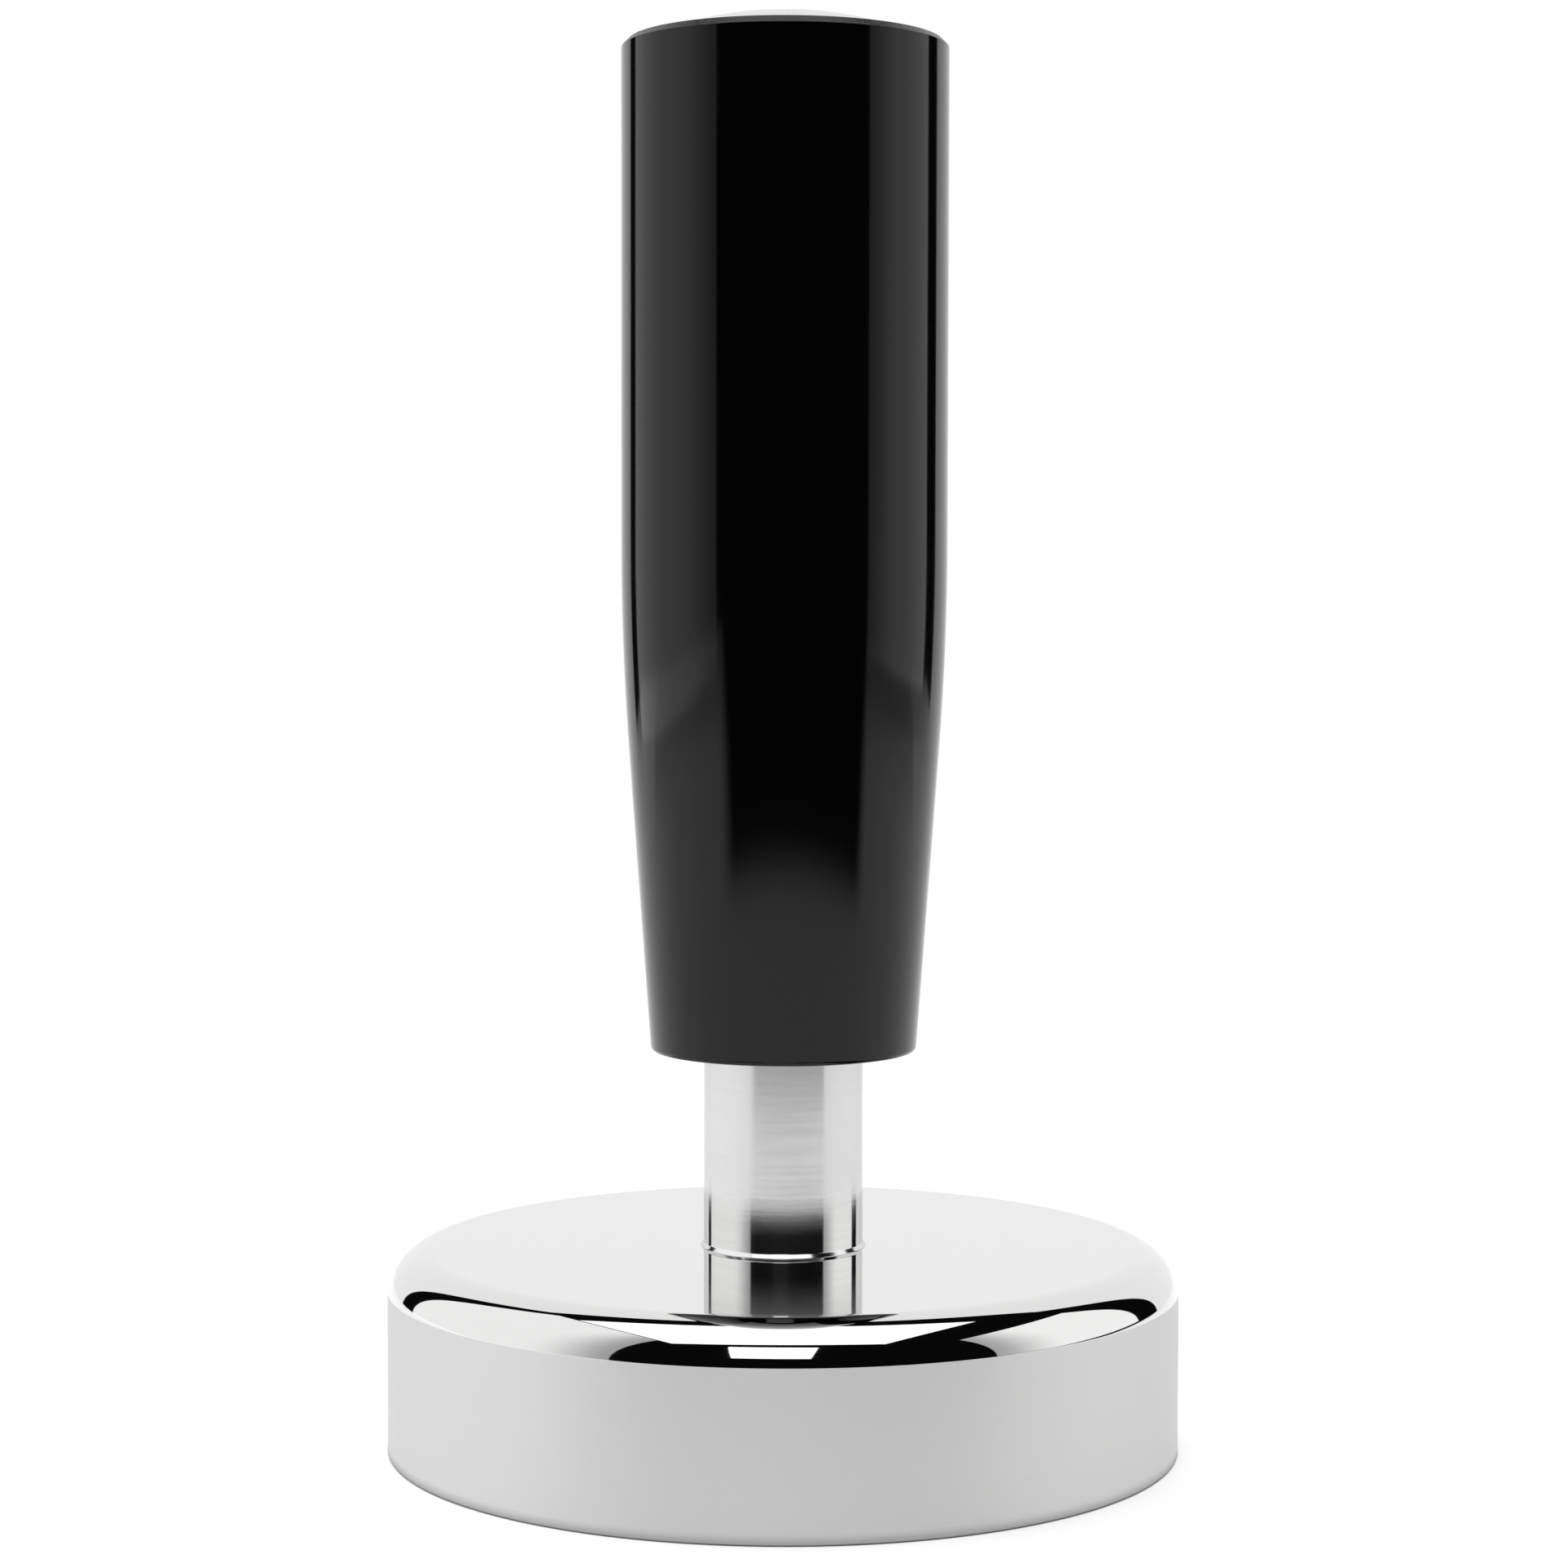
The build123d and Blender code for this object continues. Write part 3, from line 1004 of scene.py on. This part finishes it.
@dataclass(frozen=True)
class SoftBox:
    """One plain light panel, in metres, seen in reflections and not by the camera."""

    name: str
    centre: tuple[float, float, float]
    width: float
    height: float
    glow: float
    target: tuple[float, float, float]
    dim_end: float = 1.0
    ramp: tuple[float, float] = (0.0, 1.0)

    def build(self) -> None:
        """Hangs the panel and turns it to its target."""
        light = bpy.data.lights.new(self.name, "AREA")
        light.shape = "RECTANGLE"
        light.size, light.size_y = self.width, self.height
        light.energy = self.glow * math.pi * self.width * self.height
        if self.dim_end < 1:
            self._fade(light)
        panel = bpy.data.objects.new(self.name, light)
        panel.location = self.centre
        panel.rotation_euler = (Vector(self.target) - Vector(self.centre)).to_track_quat("-Z", "Y").to_euler()
        panel.visible_camera = False
        bpy.context.scene.collection.objects.link(panel)

    def _fade(self, light: bpy.types.Light) -> None:
        """Makes the panel dimmer towards one side, along the ramp's share of its width.

        Args:
            light: the panel's light.
        """
        sheet = NodeSheet(light, "ShaderNodeOutputLight")
        across = sheet.node("ShaderNodeNewGeometry", output="Parametric")
        along = sheet.node("ShaderNodeSeparateXYZ", values={0: across})
        strength = along.between(*self.ramp) * (1 - self.dim_end) + self.dim_end
        sheet.finish(sheet.node("ShaderNodeEmission", values={"Strength": strength}))


@dataclass
class Studio:
    """Pale floor, dark room with soft panels round the tamper, and the camera.

    The reaches, the camera and the panels are in metres. The fades on the floor are in millimetres.
    """

    floor_reach: float = 0.75
    floor_back: float = 0.49
    floor_glow: float = 0.45
    floor_fade: tuple[float, float] = (330.0, 500.0)
    floor_grey: float = 0.86
    floor_roughness: float = 0.9
    room_glow: float = 0.003
    lens: float = 78.87
    distance: float = 0.25341
    camera_height: float = 0.06156
    pitch: float = 0.0494
    roll: float = 0.0019
    painted_shadow_width: float = 0.1
    painted_shadow_inset: float = 0.1
    card_near: float = 0.15
    card_level: float = 0.0004
    card_grey: float = 0.001
    dark_from: tuple[float, float] = (185.0, 225.0)
    dark_left: float = 0.95
    dark_right: float = 1.73
    dark_blur: float = 40.0
    dim_from: tuple[float, float] = (300.0, 420.0)
    dim_share: float = 0.3

    def panels(self) -> list[SoftBox]:
        """Lists the panels.

        Returns:
            The soft boxes: back, overhead, left, right and one over the camera.
        """
        return [
            SoftBox("back_panel", (0.051, 0.5, 0.425), 1.018, 0.86, glow=1.0, target=(0.051, 0.0, 0.425)),
            SoftBox("overhead_panel", (-0.015, -0.12, 0.6), 0.63, 0.56, glow=1.5, target=(-0.015, -0.12, 0.0)),
            SoftBox(
                "left_panel", (-0.45, -0.0275, 0.4), 0.755, 0.8, glow=1.1, target=(0.0, -0.0275, 0.4),
                dim_end=0.4, ramp=(1.0, 0.6),
            ),
            SoftBox(
                "right_panel", (0.45, -0.0125, 0.25), 0.495, 0.46, glow=1.15, target=(0.0, -0.0125, 0.25),
                dim_end=0.42, ramp=(0.0, 0.45),
            ),
            SoftBox("front_strip", (-0.035, -0.6, 0.47), 0.28, 0.34, glow=1.6, target=(0.0, 0.0, 0.014)),
        ]

    def build(self) -> None:
        """Builds the floor, the room, the panels, the dark card and the camera."""
        self._floor()
        self._room()
        for panel in self.panels():
            panel.build()
        self._dark_front()
        self._camera()

    def _plate(
        self, name: str, near: float, far: float, level: float, material: bpy.types.Material
    ) -> bpy.types.Object:
        """Makes one flat staged surface, as wide as the floor.

        Args:
            name: its name.
            near: its edge towards the camera, along Y.
            far: its edge away from the camera, along Y.
            level: its height.
            material: its material.

        Returns:
            The surface.
        """
        reach = self.floor_reach
        corners = [(-reach, near, level), (reach, near, level), (reach, far, level), (-reach, far, level)]
        mesh = bpy.data.meshes.new(name)
        mesh.from_pydata(corners, [], [tuple(range(len(corners)))])
        mesh.materials.append(material)
        plate = bpy.data.objects.new(name, mesh)
        bpy.context.scene.collection.objects.link(plate)
        return plate

    def _floor(self) -> None:
        """Lays a pale floor with a painted contact shadow, a thin dark line in its glow round the base, that
        fades into the room.
        """
        sheet = MaterialSheet("pale_floor")
        _at, x, y, _z = sheet.place()
        radius = (x * x + y * y) ** 0.5
        rim = radius_of("tamping_base")
        by_camera = sheet.node("ShaderNodeLightPath", output="Is Camera Ray")
        # Painted shadow: the floor's glow drops to black in a thin ring at the base's rim.
        floor_outside_painted_shadow = radius.between(rim - self.painted_shadow_inset, rim + self.painted_shadow_width)
        glow = sheet.blend(floor_outside_painted_shadow, (0.0, 0.0, 0.0), (1.0, 1.0, 1.0))
        material = sheet.shade(
            Base_Color=(self.floor_grey, self.floor_grey, self.floor_grey, 1.0),
            Roughness=self.floor_roughness,
            Emission_Color=glow,
            Emission_Strength=self.floor_glow,
            Alpha=1.0 - radius.between(*self.floor_fade) * by_camera,
        )
        self._plate("floor", -self.floor_reach, self.floor_back, 0.0, material)

    def _dark_front(self) -> None:
        """Paints shade over the floor far in front with a soft-edged dark card that only reflections see."""
        sheet = MaterialSheet("dark_card")
        _at, x, y, _z = sheet.place()
        away = y * -1.0
        radius = (x * x + y * y) ** 0.5
        beyond = radius.between(*self.dark_from)
        around = radius.between(*self.dim_from) * self.dim_share
        inside_left = (x + away * self.dark_left).between(-self.dark_blur, self.dark_blur)
        inside_right = (away * self.dark_right - x).between(-self.dark_blur, self.dark_blur)
        material = sheet.shade(
            Base_Color=(self.card_grey, self.card_grey, self.card_grey, 1.0),
            Roughness=1.0,
            Specular_IOR_Level=0.0,
            Alpha=around + beyond * inside_left * inside_right * (1.0 - around),
        )
        card = self._plate("dark_card", -self.floor_reach, self.card_near, self.card_level, material)
        card.visible_camera = False
        card.visible_shadow = False
        card.visible_diffuse = False

    def _room(self) -> None:
        """Makes the room pale to look at and dark in reflections."""
        world = bpy.data.worlds.new("room")
        bpy.context.scene.world = world
        sheet = NodeSheet(world, "ShaderNodeOutputWorld")
        white = (1.0, 1.0, 1.0, 1.0)
        seen = sheet.node("ShaderNodeBackground", values={"Color": white})
        dark = sheet.node("ShaderNodeBackground", values={"Color": white, "Strength": self.room_glow})
        by_camera = sheet.node("ShaderNodeLightPath", output="Is Camera Ray")
        sheet.finish(sheet.node("ShaderNodeMixShader", values={0: by_camera, 1: dark, 2: seen}))

    def _camera(self) -> None:
        """Puts the camera in front, a little above, looking slightly down."""
        camera = bpy.data.cameras.new("camera")
        camera.lens = self.lens
        camera.clip_start = 0.01
        view = bpy.data.objects.new("camera", camera)
        tilt = Matrix.Rotation(math.pi / 2 - self.pitch, 4, "X") @ Matrix.Rotation(self.roll, 4, "Z")
        view.matrix_world = Matrix.Translation((0.0, -self.distance, self.camera_height)) @ tilt
        bpy.context.scene.collection.objects.link(view)
        bpy.context.scene.camera = view
        bpy.context.scene.view_settings.view_transform = "Standard"


def main() -> None:
    """Builds the tamper's pieces and the studio in order."""
    logging.basicConfig(level=logging.INFO, format="%(name)s: %(message)s")
    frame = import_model()
    lathe = Lathe()
    for part in (TampingBase(), Stem(), Handle(), TopCap()):
        part.build(lathe)
    InnerPieces().dress(frame["nodes"])
    Studio().build()


if __name__ == "__main__":
    main()
